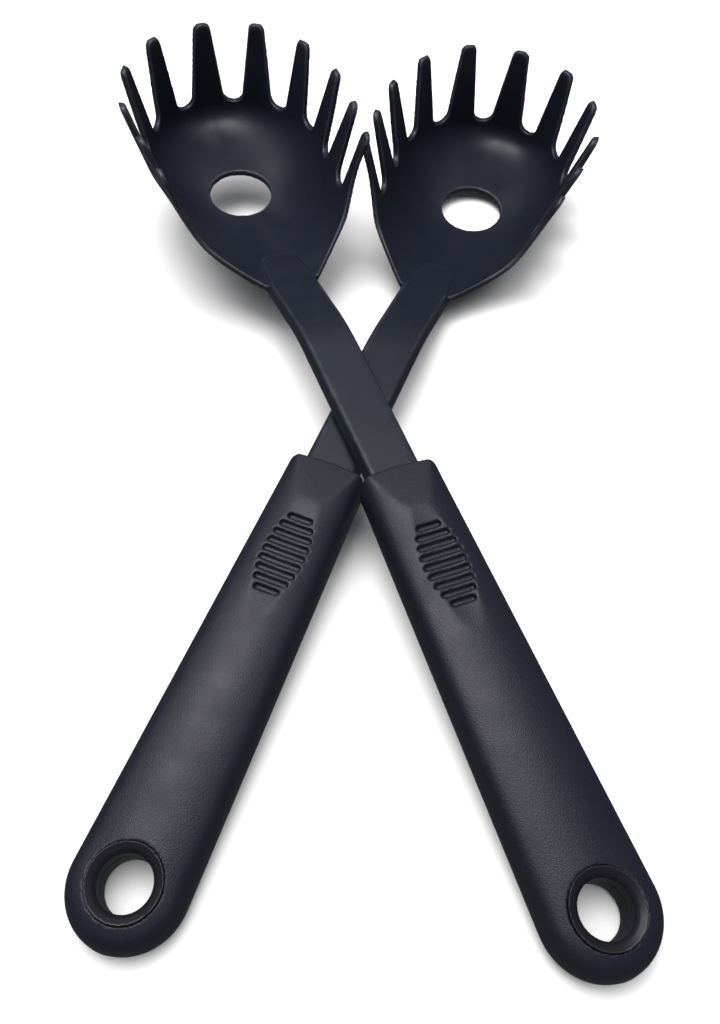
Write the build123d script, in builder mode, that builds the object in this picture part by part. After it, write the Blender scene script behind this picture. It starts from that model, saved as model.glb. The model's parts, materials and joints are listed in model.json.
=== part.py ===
"""A pair of spaghetti servers lying crossed. Each is a moulded head and shank pressed into a handle,
with a two-part eyelet lining the hang hole.

Server frame: origin at the centre of the hang hole on top of the handle, +Y towards the head, +Z up.
Assembly frame: origin on the table under the middle of the pair, +Y towards both heads, +Z up.
Millimetres.
"""
from build123d import *
from math import atan2, cos, degrees, radians, sin, sqrt, tan
import os

# Handle
HANDLE_FRONT = 120.3         # hang hole to the cut front face
TAIL_HALF_WIDTH = 13.9
FRONT_HALF_WIDTH = 11.6
HANDLE_DEPTH = 13.0
CROWN_DROP = 1.7             # how far the crowned top falls before the shoulder
SHOULDER_INSET = 3.4
WAIST_DEPTH = 6.0            # below the top, where the section is widest
BASE_INSET = 5.0
FACET_START = 104.0          # where the flat facet on top of the front begins
FACET_DROP = 2.3
FRONT_CORNER_RADIUS = 3.2
FRONT_BULGE = 1.0            # the front face is this much further forward at its middle
LIP_LENGTH = 5.0             # finger lip under the front
LIP_DEPTH = 1.2
LIP_HALF_WIDTH = 6.9
NIB_LENGTH = 2.9             # gate mark on the tail
NIB_HEIGHT = 0.8
NIB_REACH = 0.5
NIB_DEPTH = 8.5

# Thumb recess
RECESS_CENTRE = 87.5
RECESS_HALF_LENGTH = 21.0
RECESS_HALF_WIDTH = 8.2
RECESS_DEPTH = 0.9
GROOVE_COUNT = 9
GROOVE_PITCH = 2.85
GROOVE_WIDTH = 1.7
GROOVE_FLOOR = 1.7
GROOVE_OVAL_WIDTH = 12.2     # the oval that the groove ends lie on
GROOVE_OVAL_LENGTH = 28.0

# Hang-hole eyelets
EYELET_RADIUS = 8.7
EYELET_BORE_RADIUS = 6.3
EYELET_MOUTH_DROP = 0.9
EYELET_SPLIT = 6.5           # depth where the front half meets the rear half
EYELET_RIM_CHAMFER = 0.8
EYELET_SINK = 0.35           # below the crown at the middle, level with it at the rim
EYELET_MOUTH_RADIUS = 0.8

# Shank, by its top surface
SHANK_START_DEPTH = 5.6
BEND_AT = 182.0
BEND_DEPTH = 9.6
BEND_SPREAD = 9.0            # half the length of the bend
BEND_EASE = 0.5
NECK_AT = 211.8
NECK_DEPTH = 19.0
TONGUE_END = 236.0
TONGUE_DEPTH = 26.7
TONGUE_TIP = 231.5           # where its rounded end is trimmed
TONGUE_CORNER_RADIUS = 4.6
SHANK_THICKNESS = 4.4
TONGUE_THICKNESS = 2.6
SHANK_TOP_HALF = 7.0
SHANK_BASE_HALF = 9.1
NECK_TOP_HALF = 7.8
NECK_BASE_HALF = 9.5
TONGUE_TOP_HALF = 6.0
TONGUE_BASE_HALF = 7.2
TANG_LENGTH = 46.0
TANG_WIDTH = 12.0
TANG_THICKNESS = 3.6
TANG_DEPTH = 6.3
SHANK_CORNER_RADIUS = 1.0

# Head
HOLE_AT = 275.0
HOLE_RADIUS = 11.8
FLOOR_DEPTH = 33.0           # bowl floor at the drain hole, below the handle's top
FLOOR_RISE = 0.07            # slope of the floor across the drain hole, up towards the front
FLOOR_START_RADIUS = 9.0
WALL_TURN = 0.33             # share of the wall's run that follows the tines' slope
WALL = 2.4
TIP_WALL = 2.2
# Wall of the head by angle round the drain hole, 0 at the front: radius and height where the
# tines begin, radius and height of the top edge, and how far out the flat of the floor reaches.
WALL_STATIONS = [
    (0, 42.0, -22.8, 43.2, 8.2, 0.42),
    (27, 39.4, -21.0, 43.1, 8.2, 0.42),
    (54, 34.2, -18.3, 40.4, 8.4, 0.42),
    (85, 31.3, -16.0, 37.9, 9.2, 0.4),
    (114, 32.4, -13.8, 40.2, 11.2, 0.4),
    (136, 40.5, -12.0, 49.8, 11.6, 0.38),
    (154, 52.5, -14.6, 61.0, -7.0, 0.3),
    (172, 64.0, -19.4, 73.0, -16.4, 0.2),
]
# Middle of each tine's tip on the right-hand side, from the central tine back, in plan.
TINE_TIPS = [(0, 317.8), (19.4, 313.7), (32.9, 299.0), (38.2, 278.3), (36.9, 257.0), (35.2, 239.6)]
TIP_HEIGHTS = [8.2, 8.2, 8.4, 9.2, 11.1, 11.6]
TIP_HALF_WIDTH = 2.9
# Floor of each gap between two tines: place in plan, height, and the way that the gap faces.
GAPS = [
    (9.7, 316.0, -22.4, 13),
    (24.1, 302.7, -19.6, 36),
    (30.8, 285.6, -17.0, 62),
    (30.5, 265.6, -14.8, 84),
    (28.1, 245.8, -11.9, 80),
]
GAP_HALF_WIDTH = 3.4
GAP_CORNER_RADIUS = 3.6
GAP_REACH = 25.0
# Rim from the neck up the back edge of the last tine, seen from the side, and the head's outline
# beside the neck, seen from above.
RIM_POINTS = [(205.0, -19.0), (217.7, -18.8), (228.0, -15.1), (235.0, -7.4), (237.0, 9.0)]
NECK_OUTLINE = [(9.4, 211.8), (14.2, 217.6), (23.4, 227.4), (33.5, 235.4), (46.0, 241.0)]

# Hang hole of each server on the table, then its yaw, pitch and roll.
POSES = {
    "lower": (-39.1, -128.7, 14.01, -21.5, 4.8, 5.3),
    "upper": (65.5, -135.0, 14.06, 20.3, 7.3, 2.2),
}

os.makedirs("parts", exist_ok=True)


def radial_plane(angle):
    """Upright plane through the drain hole's axis, its x pointing outward at an angle from +Y."""
    turn = radians(angle)
    outward = Vector(sin(turn), cos(turn), 0)
    return Plane(origin=(0, HOLE_AT, 0), x_dir=outward, z_dir=outward.cross(Vector(0, 0, 1)))


def wall_section(angle, root_radius, root_height, top_radius, top_height, floor_reach):
    """One radial section of the head's shell, from the floor to the top edge."""
    tilt = FLOOR_RISE * cos(radians(angle))
    lean = Vector(1, tilt).normalized()
    floor = Vector(FLOOR_START_RADIUS, tilt * FLOOR_START_RADIUS - FLOOR_DEPTH)
    root = Vector(root_radius, root_height)
    top = Vector(top_radius, top_height)
    rise = (top - root).normalized()
    across = Vector(rise.Y, -rise.X)
    under = Vector(lean.Y, -lean.X)
    run = (root - floor).length
    flat = lean * run * floor_reach
    turn_up = rise * run * WALL_TURN
    outer_floor = floor + under * WALL
    outer_root = root + across * WALL
    outer_top = top + across * TIP_WALL
    with BuildSketch(radial_plane(angle)) as section:
        with BuildLine():
            Bezier(floor, floor + flat, root - turn_up, root)
            Line(root, top)
            Line(top, outer_top)
            Line(outer_top, outer_root)
            Bezier(outer_root, outer_root - turn_up, outer_floor + flat, outer_floor)
            Line(outer_floor, floor)
        make_face()
    return section.sketch


def gap_plane(x, y, facing):
    """Upright plane across the gap whose floor is at x, y, looking out through it."""
    turn = radians(facing)
    outward = Vector(sin(turn), cos(turn), 0)
    return Plane(origin=(x, y, 0), x_dir=Vector(-cos(turn), sin(turn), 0), z_dir=outward)


def gap_outline(index):
    """Outline of the space between tine number index and the next one, with their rounded tips."""
    x, y, floor_height, facing = GAPS[index]
    plane = gap_plane(x, y, facing)
    right = plane.to_local_coords(Vector(*TINE_TIPS[index], 0)).X
    left = plane.to_local_coords(Vector(*TINE_TIPS[index + 1], 0)).X
    right_top = TIP_HEIGHTS[index]
    left_top = TIP_HEIGHTS[index + 1]
    above = max(TIP_HEIGHTS) + 5
    with BuildSketch(plane) as outline:
        with BuildLine():
            CenterArc((left, left_top - TIP_HALF_WIDTH), TIP_HALF_WIDTH, 0, 90)
            FilletPolyline(
                (left + TIP_HALF_WIDTH, left_top - TIP_HALF_WIDTH),
                (-GAP_HALF_WIDTH, floor_height),
                (GAP_HALF_WIDTH, floor_height),
                (right - TIP_HALF_WIDTH, right_top - TIP_HALF_WIDTH),
                radius=GAP_CORNER_RADIUS,
            )
            CenterArc((right, right_top - TIP_HALF_WIDTH), TIP_HALF_WIDTH, 90, 90)
            Polyline((right, right_top), (right, above), (left, above), (left, left_top))
        make_face()
    return outline.sketch


def shank_section(y, depth, slope, top_half, base_half, thickness):
    """Section of the shank square to its run: a flat top, sloping sides and rounded corners."""
    run = Vector(0, cos(radians(slope)), -sin(radians(slope)))
    with BuildSketch(Plane(origin=(0, y, -depth), x_dir=(1, 0, 0), z_dir=run)) as section:
        with BuildLine():
            Polyline(
                (-top_half, 0), (-base_half, thickness), (base_half, thickness), (top_half, 0), close=True
            )
        make_face()
        fillet(section.vertices(), SHANK_CORNER_RADIUS)
    return section.sketch


def tongue(neck, slope):
    """Raised end of the shank that runs onto the bowl's floor, its tip rounded in plan."""
    end = shank_section(
        TONGUE_END, TONGUE_DEPTH, slope, TONGUE_TOP_HALF, TONGUE_BASE_HALF, TONGUE_THICKNESS
    )
    with BuildPart() as pad:
        loft(sections=[neck, end])
        with BuildSketch() as plan:
            with BuildLine():
                Polyline(
                    (-NECK_BASE_HALF, NECK_AT - 5),
                    (-TONGUE_TOP_HALF, TONGUE_TIP),
                    (TONGUE_TOP_HALF, TONGUE_TIP),
                    (NECK_BASE_HALF, NECK_AT - 5),
                    close=True,
                )
            make_face()
            fillet(plan.vertices().group_by(Axis.Y)[-1], TONGUE_CORNER_RADIUS)
        extrude(amount=60, both=True, mode=Mode.INTERSECT)
    return pad.part


def handle_section(y, half_width):
    """Section of the handle: a crowned top, full round sides and a flat base."""
    with BuildSketch(Plane.XZ.offset(-y)) as section:
        add(handle_half_section(half_width))
        mirror(about=Plane.YZ)
    return section.sketch


def handle_half_section(half_width):
    """Right-hand half of the handle's section, drawn upright on the sketch plane."""
    shoulder = half_width - SHOULDER_INSET
    base = half_width - BASE_INSET
    with BuildSketch() as half:
        with BuildLine():
            ThreePointArc((0, 0), (shoulder / 2, -CROWN_DROP / 4), (shoulder, -CROWN_DROP))
            Spline(
                (shoulder, -CROWN_DROP),
                (half_width, -WAIST_DEPTH),
                (base, -HANDLE_DEPTH),
                tangents=((1, -2 * CROWN_DROP / shoulder), (-1, 0)),
            )
            Polyline((base, -HANDLE_DEPTH), (0, -HANDLE_DEPTH), (0, 0))
        make_face()
    return half.sketch


def head_and_shank():
    """The bowl with its eleven tines, the bent shank and the tang that is pressed into the handle."""
    first = (-WALL_STATIONS[1][0],) + WALL_STATIONS[1][1:]
    last = (360 - WALL_STATIONS[-1][0],) + WALL_STATIONS[-1][1:]
    wall_sections = [wall_section(*station) for station in [first] + WALL_STATIONS + [last]]
    gap_spaces = [extrude(gap_outline(index), amount=GAP_REACH, both=True) for index in range(len(GAPS))]
    neck_slope = degrees(atan2(NECK_DEPTH - BEND_DEPTH, NECK_AT - BEND_AT))
    run_slope = degrees(atan2(BEND_DEPTH - SHANK_START_DEPTH, BEND_AT - HANDLE_FRONT))
    before = BEND_DEPTH - BEND_SPREAD * tan(radians(run_slope))
    after = BEND_DEPTH + BEND_SPREAD * tan(radians(neck_slope))
    bend_slope = (run_slope + neck_slope) / 2
    bend_top = (SHANK_TOP_HALF + NECK_TOP_HALF) / 2
    bend_base = (SHANK_BASE_HALF + NECK_BASE_HALF) / 2
    start = shank_section(
        HANDLE_FRONT, SHANK_START_DEPTH, 0, SHANK_TOP_HALF, SHANK_BASE_HALF, SHANK_THICKNESS
    )
    bend_start = shank_section(
        BEND_AT - BEND_SPREAD, before, run_slope, bend_top, bend_base, SHANK_THICKNESS
    )
    bend = shank_section(BEND_AT, BEND_DEPTH + BEND_EASE, bend_slope, bend_top, bend_base, SHANK_THICKNESS)
    bend_end = shank_section(
        BEND_AT + BEND_SPREAD, after, neck_slope, bend_top, bend_base, SHANK_THICKNESS
    )
    neck = shank_section(NECK_AT, NECK_DEPTH, neck_slope, NECK_TOP_HALF, NECK_BASE_HALF, SHANK_THICKNESS)
    tip_y = TINE_TIPS[-1][1]
    tip_z = TIP_HEIGHTS[-1]
    with BuildPart() as head:
        loft(sections=wall_sections)
        split(bisect_by=Plane.YZ, keep=Keep.TOP)
        add(gap_spaces, mode=Mode.SUBTRACT)
        with BuildSketch(Plane.YZ):
            with BuildLine():
                Spline(*RIM_POINTS)
                Line(RIM_POINTS[-1], (tip_y - TIP_HALF_WIDTH, tip_z - TIP_HALF_WIDTH))
                CenterArc((tip_y, tip_z - TIP_HALF_WIDTH), TIP_HALF_WIDTH, 180, -90)
                Polyline((tip_y, tip_z), (tip_y, 30), (180, 30), (180, -19), RIM_POINTS[0])
            make_face()
        extrude(amount=80, mode=Mode.SUBTRACT)
        with BuildSketch(Plane.XY.offset(-50)):
            with BuildLine():
                Spline(*NECK_OUTLINE)
                Polyline(NECK_OUTLINE[-1], (80, 180), (0, 180), (0, 211.8), NECK_OUTLINE[0])
            make_face()
        extrude(amount=80, mode=Mode.SUBTRACT)
        mirror(about=Plane.YZ)
        for sections in ([start, bend_start], [bend_start, bend, bend_end], [bend_end, neck]):
            loft(sections=sections)
        add(tongue(neck, neck_slope))
        with Locations((0, HOLE_AT, -FLOOR_DEPTH)):
            Cylinder(HOLE_RADIUS, 40, mode=Mode.SUBTRACT)
        with Locations((0, HANDLE_FRONT, -TANG_DEPTH)):
            Box(TANG_WIDTH, TANG_LENGTH, TANG_THICKNESS, align=(Align.CENTER, Align.MAX, Align.MAX))
    return head.part


def handle():
    """The handle moulding, with its socket for the tang, thumb recess, grooves and eyelet bore."""
    groove_rows = range(GROOVE_COUNT)
    middle = (GROOVE_COUNT - 1) / 2
    lens_radius = (RECESS_HALF_WIDTH**2 + RECESS_DEPTH**2) / (2 * RECESS_DEPTH)
    lens_axis = lens_radius - RECESS_DEPTH
    with BuildPart() as grip:
        loft(sections=[handle_section(0, TAIL_HALF_WIDTH), handle_section(HANDLE_FRONT, FRONT_HALF_WIDTH)])
        with BuildSketch(Plane.XZ):
            add(handle_half_section(TAIL_HALF_WIDTH))
        revolve(axis=Axis.Z, revolution_arc=-180)
        with BuildSketch() as plan:
            with BuildLine():
                ThreePointArc(
                    (-FRONT_HALF_WIDTH, HANDLE_FRONT - FRONT_BULGE),
                    (0, HANDLE_FRONT),
                    (FRONT_HALF_WIDTH, HANDLE_FRONT - FRONT_BULGE),
                )
                Polyline(
                    (FRONT_HALF_WIDTH, HANDLE_FRONT - FRONT_BULGE),
                    (2 * TAIL_HALF_WIDTH, -2 * TAIL_HALF_WIDTH),
                    (-2 * TAIL_HALF_WIDTH, -2 * TAIL_HALF_WIDTH),
                    (-FRONT_HALF_WIDTH, HANDLE_FRONT - FRONT_BULGE),
                )
            make_face()
            fillet(plan.vertices().group_by(Axis.Y)[-1], FRONT_CORNER_RADIUS)
        extrude(amount=2 * HANDLE_DEPTH, both=True, mode=Mode.INTERSECT)
        with BuildSketch(Plane.YZ):
            with BuildLine():
                Polyline(
                    (FACET_START, 0), (HANDLE_FRONT, -FACET_DROP), (HANDLE_FRONT, 5), (FACET_START, 5), close=True
                )
            make_face()
        extrude(amount=TAIL_HALF_WIDTH, both=True, mode=Mode.SUBTRACT)
        with BuildSketch(Plane.YZ):
            with BuildLine():
                ThreePointArc(
                    (RECESS_CENTRE - RECESS_HALF_LENGTH, 0),
                    (RECESS_CENTRE, -RECESS_DEPTH),
                    (RECESS_CENTRE + RECESS_HALF_LENGTH, 0),
                )
                Polyline(
                    (RECESS_CENTRE + RECESS_HALF_LENGTH, 0),
                    (RECESS_CENTRE + RECESS_HALF_LENGTH, lens_axis),
                    (RECESS_CENTRE - RECESS_HALF_LENGTH, lens_axis),
                    (RECESS_CENTRE - RECESS_HALF_LENGTH, 0),
                )
            make_face()
        revolve(axis=Axis((0, 0, lens_axis), (0, 1, 0)), revolution_arc=360, mode=Mode.SUBTRACT)
        for row in groove_rows:
            along = (row - middle) * GROOVE_PITCH
            length = GROOVE_OVAL_WIDTH * sqrt(1 - (2 * along / GROOVE_OVAL_LENGTH) ** 2)
            with BuildSketch(Plane.XY.offset(-GROOVE_FLOOR)):
                with Locations((0, RECESS_CENTRE + along)):
                    SlotOverall(length, GROOVE_WIDTH)
            extrude(amount=GROOVE_FLOOR + 1, mode=Mode.SUBTRACT)
        with Locations((0, HANDLE_FRONT - 1, -HANDLE_DEPTH)):
            Box(2 * LIP_HALF_WIDTH, LIP_LENGTH, 2 * LIP_DEPTH, align=(Align.CENTER, Align.MAX, Align.CENTER))
        with Locations((0, -TAIL_HALF_WIDTH, -NIB_DEPTH)):
            Box(NIB_LENGTH, 2 * NIB_REACH, NIB_HEIGHT)
        with Locations((0, HANDLE_FRONT, -TANG_DEPTH)):
            Box(
                TANG_WIDTH,
                TANG_LENGTH,
                TANG_THICKNESS,
                align=(Align.CENTER, Align.MAX, Align.MAX),
                mode=Mode.SUBTRACT,
            )
        Cylinder(EYELET_RADIUS, 60, mode=Mode.SUBTRACT)
    return grip.part


def eyelet_front():
    """Front half of the hang-hole lining, with its dished mouth."""
    with BuildPart() as ring:
        with BuildSketch(Plane.XZ):
            with BuildLine():
                Polyline(
                    (EYELET_BORE_RADIUS, -EYELET_SPLIT),
                    (EYELET_RADIUS, -EYELET_SPLIT),
                    (EYELET_RADIUS, -EYELET_SINK),
                    (EYELET_BORE_RADIUS + EYELET_MOUTH_RADIUS, -EYELET_SINK - EYELET_MOUTH_DROP),
                    (EYELET_BORE_RADIUS, -EYELET_SINK - EYELET_MOUTH_DROP - EYELET_MOUTH_RADIUS),
                    close=True,
                )
            make_face()
        revolve(axis=Axis.Z)
    return ring.part


def eyelet_rear():
    """Rear half of the hang-hole lining, chamfered where it leaves the underside."""
    with BuildPart() as ring:
        with BuildSketch(Plane.XY.offset(-HANDLE_DEPTH)):
            Circle(EYELET_RADIUS)
            Circle(EYELET_BORE_RADIUS, mode=Mode.SUBTRACT)
        extrude(amount=HANDLE_DEPTH - EYELET_SPLIT)
        bore_end = ring.edges().filter_by(GeomType.CIRCLE).group_by(Axis.Z)[0].sort_by(SortBy.RADIUS)[0]
        chamfer(bore_end, EYELET_RIM_CHAMFER)
    return ring.part


PIECES = {
    "head_and_shank": head_and_shank(),
    "handle": handle(),
    "eyelet_front": eyelet_front(),
    "eyelet_rear": eyelet_rear(),
}
placed = {}
for server, (x, y, z, yaw, pitch, roll) in POSES.items():
    place = Pos(x, y, z) * Rot(Z=yaw) * Rot(X=pitch) * Rot(Y=roll)
    for name, piece in PIECES.items():
        placed[f"{server}_{name}"] = place * piece

box = Compound(list(placed.values())).bounding_box()
onto_origin = Pos(-box.center().X, -box.center().Y, -box.min.Z)
for node, piece in placed.items():
    centred = onto_origin * piece
    centred.label = node
    export_step(centred, f"parts/{node}.step")
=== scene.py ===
"""Looks for the crossed pair of spaghetti servers: moulded surfaces, camera, light and floor."""
import json
import math

import bmesh
import bpy
import numpy as np
from mathutils import Matrix, Vector

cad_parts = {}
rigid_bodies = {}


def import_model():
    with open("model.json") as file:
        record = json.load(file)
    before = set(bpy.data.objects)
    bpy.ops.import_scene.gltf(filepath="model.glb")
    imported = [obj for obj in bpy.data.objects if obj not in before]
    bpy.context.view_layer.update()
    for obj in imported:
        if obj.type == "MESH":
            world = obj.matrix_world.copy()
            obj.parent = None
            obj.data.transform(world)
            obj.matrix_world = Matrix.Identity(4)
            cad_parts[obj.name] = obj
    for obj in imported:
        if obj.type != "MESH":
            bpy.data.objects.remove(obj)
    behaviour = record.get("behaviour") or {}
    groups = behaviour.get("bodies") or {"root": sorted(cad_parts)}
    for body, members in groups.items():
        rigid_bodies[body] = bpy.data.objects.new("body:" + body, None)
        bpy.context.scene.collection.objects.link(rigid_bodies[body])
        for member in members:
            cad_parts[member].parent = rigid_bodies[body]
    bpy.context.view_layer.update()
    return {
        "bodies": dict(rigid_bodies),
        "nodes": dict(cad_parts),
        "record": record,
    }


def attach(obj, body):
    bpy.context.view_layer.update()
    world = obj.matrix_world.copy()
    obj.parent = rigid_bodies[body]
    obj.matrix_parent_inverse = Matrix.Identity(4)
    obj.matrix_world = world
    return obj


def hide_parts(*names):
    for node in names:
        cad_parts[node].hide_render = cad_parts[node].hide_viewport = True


MM = 0.001

# Camera: the point on the floor that it aims at, and where it stands from there.
AIM = Vector((-0.0035, -0.0307, 0.0002))
CAMERA_DISTANCE = 0.26584
CAMERA_ELEVATION = 53.37     # degrees above the horizon
CAMERA_ROLL = -0.61          # degrees
SENSOR_WIDTH = 36            # mm
FOCAL_OVER_HEIGHT = 870 / 1024

# Floor: half its width, and how far it lies below the servers so that no faces coincide.
FLOOR_HALF = 3.0
FLOOR_DROP = 0.05 * MM

# Rounding of the moulded edges: size of the new mesh's cells, then how often it is smoothed.
HEAD_CELL = 0.40 * MM
HANDLE_CELL = 0.34 * MM
EYELET_CELL = 0.22 * MM
WELD_DISTANCE = 0.001 * MM
SMOOTHING_FACTOR = 0.5
EDGE_SMOOTHING = 6
CURVATURE_SMOOTHING = 14
CREASE_SMOOTHING = 70        # for the handle's shoulders, facet and thumb recess

# Handle, measured from the hang hole towards the head, and out from its middle.
GROOVES_MIDDLE = 87.5 * MM
GROOVES_HALF_LENGTH = 14.5 * MM
GROOVES_HALF_WIDTH = 7.5 * MM
SOFT_FROM = 11.5 * MM
SOFT_TO = 117 * MM
SOFT_BLEND = 2.5 * MM
WEIGHT_LEVELS = 10

# The "edge" attribute: its value on flats, the share of a cell that a full edge stands out by, and
# how much paler the tines' tips are painted between two heights above the hang hole's middle, as wear
# and as painted highlight on their rounded upward ends.
FLAT = 0.5
EDGE_SPAN = 0.5
TIP_HIGHLIGHT_AND_WEAR = 0.45
TIP_HIGHLIGHT_AND_WEAR_FROM = 10 * MM
TIP_HIGHLIGHT_AND_WEAR_TO = 15.5 * MM

# Plastic: where on the "edge" scale the paler colour begins, which paints both wear and the highlight
# that outer edges catch, and the mottle that varies that paleness and roughness.
EDGE_HIGHLIGHT_AND_WEAR_FROM = 0.6
EDGE_HIGHLIGHT_AND_WEAR_FULL = 1.0
MOTTLE_MM = 9
LEAST_HIGHLIGHT_AND_WEAR = 0.4
ROUGHNESS_SPREAD = 0.05
NOISE_DETAIL = 3.0

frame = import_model()
nodes = frame["nodes"]


def make_camera():
    elevation = math.radians(CAMERA_ELEVATION)
    roll = math.radians(CAMERA_ROLL)
    forward = Vector((0, math.cos(elevation), -math.sin(elevation)))
    level_right = Vector((1, 0, 0))
    level_up = level_right.cross(forward)
    right = level_right * math.cos(roll) + level_up * math.sin(roll)
    up = level_up * math.cos(roll) - level_right * math.sin(roll)
    data = bpy.data.cameras.new("camera")
    data.sensor_width = SENSOR_WIDTH
    data.lens = FOCAL_OVER_HEIGHT * data.sensor_width
    data.clip_start = 0.01
    data.clip_end = 20
    camera = bpy.data.objects.new("camera", data)
    bpy.context.scene.collection.objects.link(camera)
    axes = Matrix((right, up, -forward)).transposed().to_4x4()
    camera.matrix_world = Matrix.Translation(AIM - forward * CAMERA_DISTANCE) @ axes
    bpy.context.scene.camera = camera


def make_floor():
    """White floor, left out of reflections so that the servers' sides stay dark."""
    mesh = bpy.data.meshes.new("floor")
    near, far = -FLOOR_HALF, FLOOR_HALF
    corners = [(near, near, 0), (far, near, 0), (far, far, 0), (near, far, 0)]
    mesh.from_pydata(corners, [], [(0, 1, 2, 3)])
    floor = bpy.data.objects.new("floor", mesh)
    bpy.context.scene.collection.objects.link(floor)
    floor.location.z = -FLOOR_DROP
    material = bpy.data.materials.new("white_paper")
    material.use_nodes = True
    shader = material.node_tree.nodes["Principled BSDF"]
    shader.inputs["Base Color"].default_value = (0.88, 0.87, 0.87, 1)
    shader.inputs["Roughness"].default_value = 0.7
    shader.inputs["Specular IOR Level"].default_value = 0.2
    mesh.materials.append(material)
    floor.visible_glossy = False


def make_light(name, location, target, size, power, mirrored=True):
    """Area light of a size in metres and a power in watts, seen in reflections if mirrored."""
    data = bpy.data.lights.new(name, "AREA")
    data.shape = "RECTANGLE"
    data.size, data.size_y = size
    data.energy = power
    light = bpy.data.objects.new(name, data)
    bpy.context.scene.collection.objects.link(light)
    light.location = location
    light.visible_glossy = mirrored
    light.rotation_euler = (Vector(target) - Vector(location)).to_track_quat("-Z", "Y").to_euler()


def make_world():
    world = bpy.data.worlds.new("studio")
    bpy.context.scene.world = world
    world.use_nodes = True
    background = world.node_tree.nodes["Background"]
    background.inputs["Color"].default_value = (0.85, 0.93, 1.0, 1)
    background.inputs["Strength"].default_value = 0.13


def shown_mesh(piece):
    """The piece's mesh as its modifiers leave it."""
    graph = bpy.context.evaluated_depsgraph_get()
    return bpy.data.meshes.new_from_object(piece.evaluated_get(graph))


def settle(piece):
    """Gives the piece the mesh that its modifiers show, and drops the modifiers."""
    mesh = shown_mesh(piece)
    piece.modifiers.clear()
    piece.data = mesh


def per_vertex(mesh, name):
    """A vector attribute of every vertex, one row each."""
    flat = np.empty(len(mesh.vertices) * 3, np.float32)
    mesh.vertices.foreach_get(name, flat)
    return flat.reshape(-1, 3)


def smooth_modifier(piece, rounds, group=""):
    modifier = piece.modifiers.new("rounding", "SMOOTH")
    modifier.factor = SMOOTHING_FACTOR
    modifier.iterations = rounds
    modifier.vertex_group = group


def server_axes(server):
    """Hang-hole middle and the directions to the right, to the head and up, of one server."""
    hang_hole = next(m for m in frame["record"]["mounts"] if m["name"] == f"{server}_hang_hole")
    middle = np.array(hang_hole["pos_m"])
    up = np.array(hang_hole["axis"])
    ahead = per_vertex(nodes[f"{server}_head_and_shank"].data, "co").mean(0) - middle
    ahead = ahead - up * (ahead @ up)
    ahead = ahead / np.linalg.norm(ahead)
    return middle, np.array([np.cross(ahead, up), ahead, up])


def in_server_axes(mesh, server):
    middle, axes = server_axes(server)
    return (per_vertex(mesh, "co") - middle) @ axes.T


def crease_weights(mesh, server):
    """1 where the handle's creases are soft, 0 at the grooves, the hang hole and the front edge."""
    across, along, _ = in_server_axes(mesh, server).T
    oval = np.hypot(across / GROOVES_HALF_WIDTH, (along - GROOVES_MIDDLE) / GROOVES_HALF_LENGTH)
    clear = [
        (oval - 1) * GROOVES_HALF_WIDTH,
        np.hypot(across, along) - SOFT_FROM,
        SOFT_TO - along,
    ]
    return np.clip(np.min(clear, axis=0) / SOFT_BLEND, 0, 1)


def soften_creases(piece, server):
    weights = crease_weights(piece.data, server)
    group = piece.vertex_groups.new(name="creases")
    for level in range(1, WEIGHT_LEVELS + 1):
        chosen = np.flatnonzero(np.ceil(weights * WEIGHT_LEVELS) == level)
        group.add([int(index) for index in chosen], level / WEIGHT_LEVELS, "REPLACE")
    smooth_modifier(piece, CREASE_SMOOTHING, "creases")
    settle(piece)


def cad_copy(node_name):
    """A copy of a CAD node with its faces welded into one skin."""
    welded = bmesh.new()
    welded.from_mesh(nodes[node_name].data)
    bmesh.ops.remove_doubles(welded, verts=welded.verts, dist=WELD_DISTANCE)
    mesh = bpy.data.meshes.new(node_name + "_moulded")
    welded.to_mesh(mesh)
    welded.free()
    piece = bpy.data.objects.new(node_name + "_moulded", mesh)
    bpy.context.scene.collection.objects.link(piece)
    return piece


def round_edges(piece, cell):
    remesh = piece.modifiers.new("cells", "REMESH")
    remesh.mode = "VOXEL"
    remesh.voxel_size = cell
    remesh.use_smooth_shade = True
    smooth_modifier(piece, EDGE_SMOOTHING)
    settle(piece)


def edge_values(piece, cell):
    """0 in hollows, 0.5 on flats and 1 on outer edges, by how far smoothing would sink each point."""
    smooth_modifier(piece, CURVATURE_SMOOTHING)
    softened = shown_mesh(piece)
    piece.modifiers.clear()
    shift = per_vertex(piece.data, "co") - per_vertex(softened, "co")
    inward = (shift * per_vertex(piece.data, "normal")).sum(1)
    bpy.data.meshes.remove(softened)
    return np.clip(FLAT + inward / (EDGE_SPAN * cell), 0, 1)


def tip_highlight_and_wear(mesh, server):
    """Least "edge" value of each point of a head, which grows towards the tips of the tines: painted
    wear and painted highlight on their upward ends.
    """
    height = in_server_axes(mesh, server)[:, 2]
    tip = np.clip((height - TIP_HIGHLIGHT_AND_WEAR_FROM) / (TIP_HIGHLIGHT_AND_WEAR_TO - TIP_HIGHLIGHT_AND_WEAR_FROM), 0, 1)
    return FLAT + TIP_HIGHLIGHT_AND_WEAR * tip**2


def moulded_copy(node_name, server, body, cell):
    """A copy of a CAD node with its edges rounded as a mould leaves them, standing for that node."""
    piece = cad_copy(node_name)
    round_edges(piece, cell)
    if node_name.endswith("handle"):
        soften_creases(piece, server)
    edge = edge_values(piece, cell)
    if node_name.endswith("head_and_shank"):
        # tines' tips painted paler, as wear and as painted highlight on their rounded upward ends
        edge = np.maximum(edge, tip_highlight_and_wear(piece.data, server))
    attribute = piece.data.attributes.new("edge", "FLOAT", "POINT")
    attribute.data.foreach_set("value", edge.astype(np.float32))
    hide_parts(node_name)
    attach(piece, body)
    return piece


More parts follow.
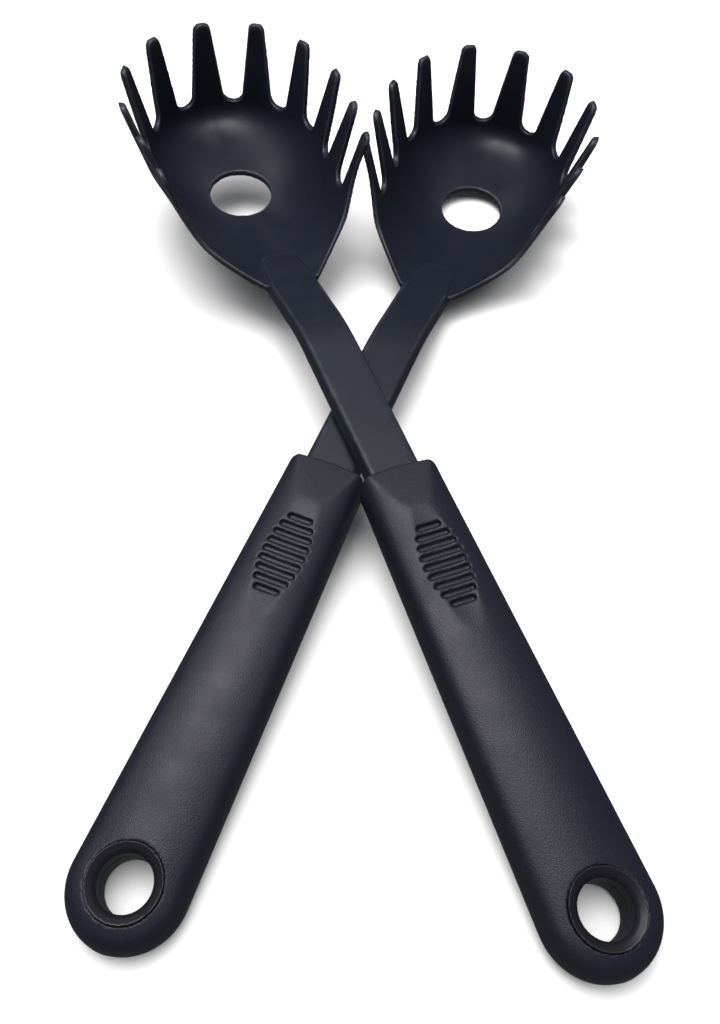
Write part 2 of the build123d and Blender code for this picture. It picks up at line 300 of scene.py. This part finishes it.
def noise(tree, place, size_mm):
    texture = tree.nodes.new("ShaderNodeTexNoise")
    texture.inputs["Scale"].default_value = 1 / (size_mm * MM)
    texture.inputs["Detail"].default_value = NOISE_DETAIL
    tree.links.new(place.outputs["Object"], texture.inputs["Vector"])
    return texture.outputs["Fac"]


def ramp(tree, source, low, high, start, end):
    """Maps a value from low..high onto start..end and holds it there."""
    node = tree.nodes.new("ShaderNodeMapRange")
    node.inputs["From Min"].default_value = low
    node.inputs["From Max"].default_value = high
    node.inputs["To Min"].default_value = start
    node.inputs["To Max"].default_value = end
    tree.links.new(source, node.inputs["Value"])
    return node.outputs["Result"]


def plastic(name, dark, highlight_and_wear_color, roughness, grain_mm, grain_depth_mm):
    """Moulded plastic: paler edges, painted both as wear and as the highlight they catch, a mottle in
    that paleness and in roughness, and a fine grain.
    """
    material = bpy.data.materials.new(name)
    material.use_nodes = True
    tree = material.node_tree
    shader = tree.nodes["Principled BSDF"]
    place = tree.nodes.new("ShaderNodeTexCoord")
    edge = tree.nodes.new("ShaderNodeAttribute")
    edge.attribute_name = "edge"
    # paler colour on outer edges and tips: painted highlight together with wear
    edge_highlight_and_wear = ramp(tree, edge.outputs["Fac"], EDGE_HIGHLIGHT_AND_WEAR_FROM, EDGE_HIGHLIGHT_AND_WEAR_FULL, 0.0, 1.0)
    mottle = noise(tree, place, MOTTLE_MM)
    highlight_and_wear = tree.nodes.new("ShaderNodeMath")
    highlight_and_wear.operation = "MULTIPLY"
    tree.links.new(edge_highlight_and_wear, highlight_and_wear.inputs[0])
    tree.links.new(ramp(tree, mottle, 0.35, 0.65, LEAST_HIGHLIGHT_AND_WEAR, 1.0), highlight_and_wear.inputs[1])
    color = tree.nodes.new("ShaderNodeMix")
    color.data_type = "RGBA"
    color.inputs["A"].default_value = (*dark, 1)
    color.inputs["B"].default_value = (*highlight_and_wear_color, 1)
    tree.links.new(highlight_and_wear.outputs[0], color.inputs["Factor"])
    tree.links.new(color.outputs["Result"], shader.inputs["Base Color"])
    spread = ramp(
        tree, mottle, 0.3, 0.7, roughness - ROUGHNESS_SPREAD, roughness + ROUGHNESS_SPREAD
    )
    tree.links.new(spread, shader.inputs["Roughness"])
    bump = tree.nodes.new("ShaderNodeBump")
    bump.inputs["Strength"].default_value = 1.0
    bump.inputs["Distance"].default_value = grain_depth_mm * MM
    tree.links.new(noise(tree, place, grain_mm), bump.inputs["Height"])
    tree.links.new(bump.outputs["Normal"], shader.inputs["Normal"])
    return material


make_camera()
make_floor()
make_world()
make_light(
    "overhead", location=(-0.09, 0.06, 0.66), target=(-0.03, 0.03, 0), size=(0.42, 0.42), power=3.6
)
make_light(
    "wide_fill",
    location=(0, 0.1, 1.2),
    target=(0, 0.1, 0),
    size=(1.8, 1.8),
    power=26,
    mirrored=False,
)

nylon = plastic(
    "satin_nylon",
    dark=(0.0055, 0.007, 0.0145),
    highlight_and_wear_color=(0.028, 0.03, 0.042),
    roughness=0.46,
    grain_mm=0.3,
    grain_depth_mm=0.008,
)
grip = plastic(
    "matte_grip",
    dark=(0.006, 0.0062, 0.0135),
    highlight_and_wear_color=(0.011, 0.011, 0.018),
    roughness=0.46,
    grain_mm=0.35,
    grain_depth_mm=0.09,
)
ring = plastic(
    "satin_ring",
    dark=(0.007, 0.006, 0.010),
    highlight_and_wear_color=(0.014, 0.014, 0.018),
    roughness=0.42,
    grain_mm=0.3,
    grain_depth_mm=0.008,
)
finishes = {
    "head_and_shank": (nylon, "satin_nylon", HEAD_CELL),
    "handle": (grip, "matte_grip_plastic", HANDLE_CELL),
    "eyelet_front": (ring, "satin_ring_plastic", EYELET_CELL),
    "eyelet_rear": (ring, "satin_ring_plastic", EYELET_CELL),
}
for body in frame["bodies"]:
    server = body.removesuffix("_server")
    for part, (material, slot, cell) in finishes.items():
        piece = moulded_copy(f"{server}_{part}", server, body, cell)
        piece.data.materials.clear()
        piece.data.materials.append(material)
bpy.context.scene.view_settings.view_transform = "Standard"
